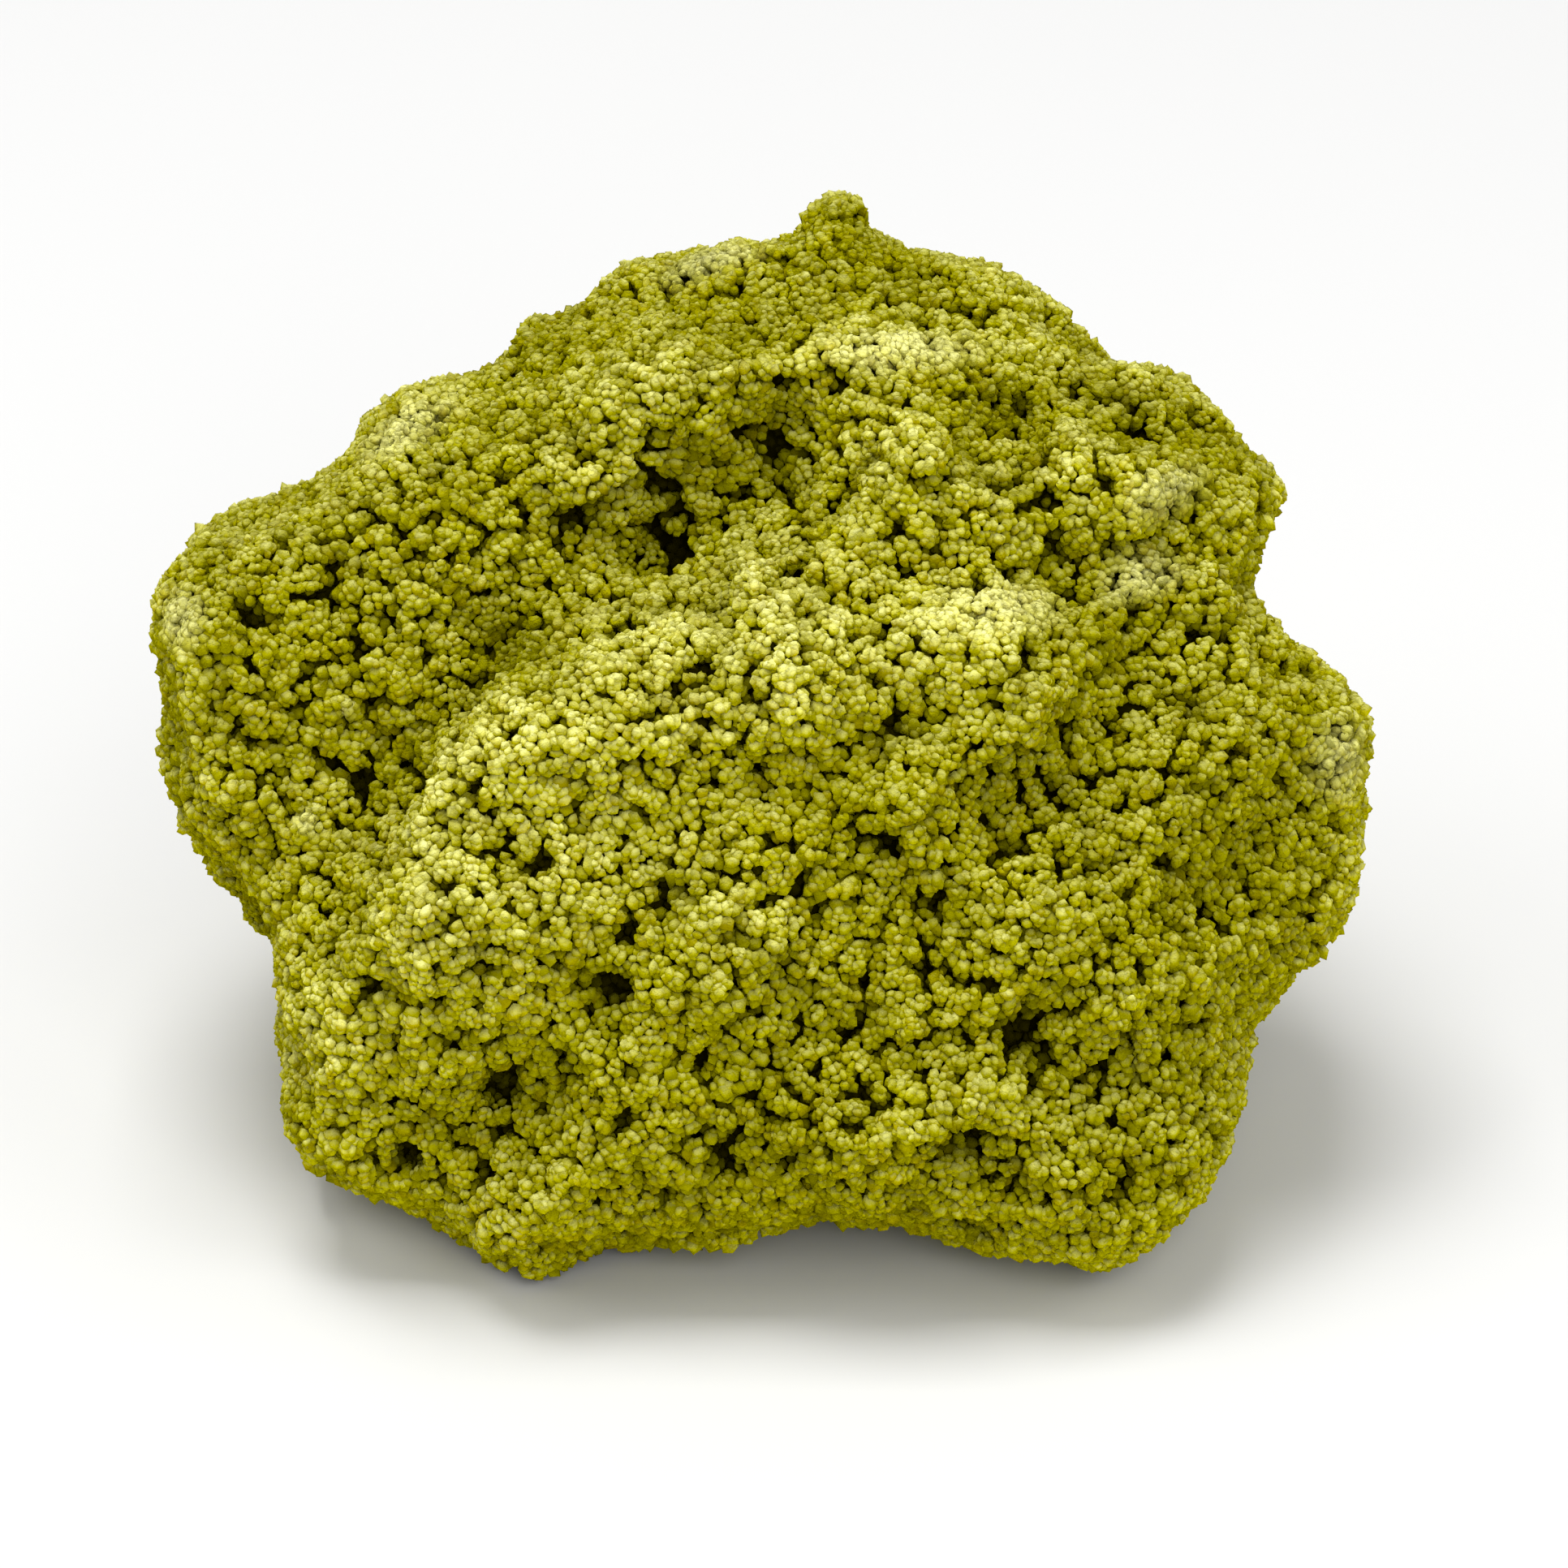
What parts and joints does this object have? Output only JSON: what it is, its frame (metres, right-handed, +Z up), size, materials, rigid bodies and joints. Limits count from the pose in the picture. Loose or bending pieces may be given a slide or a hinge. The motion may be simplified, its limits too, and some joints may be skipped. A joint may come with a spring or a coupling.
{
  "type": "nontronite mineral specimen",
  "caption": "Hand-sized lump of nontronite, a green-yellow iron clay: a block with a leaning main face, a terrace-like brow and a crust of tiny rounded grains; it stands on worn spots.",
  "frame": {"origin": "middle of the bounding box on the surface that the specimen stands on", "axes": "+X to the right across the main face, +Y from the main face to the back, +Z up"},
  "size_m": [0.08, 0.063, 0.0585],
  "materials": {
    "nontronite": "dry, dull and earthy; yellow-green grains with pale yellow tops and dark olive gaps"
  },
  "bodies": {
    "root": {"nontronite": "nontronite"}
  },
  "joints": []
}
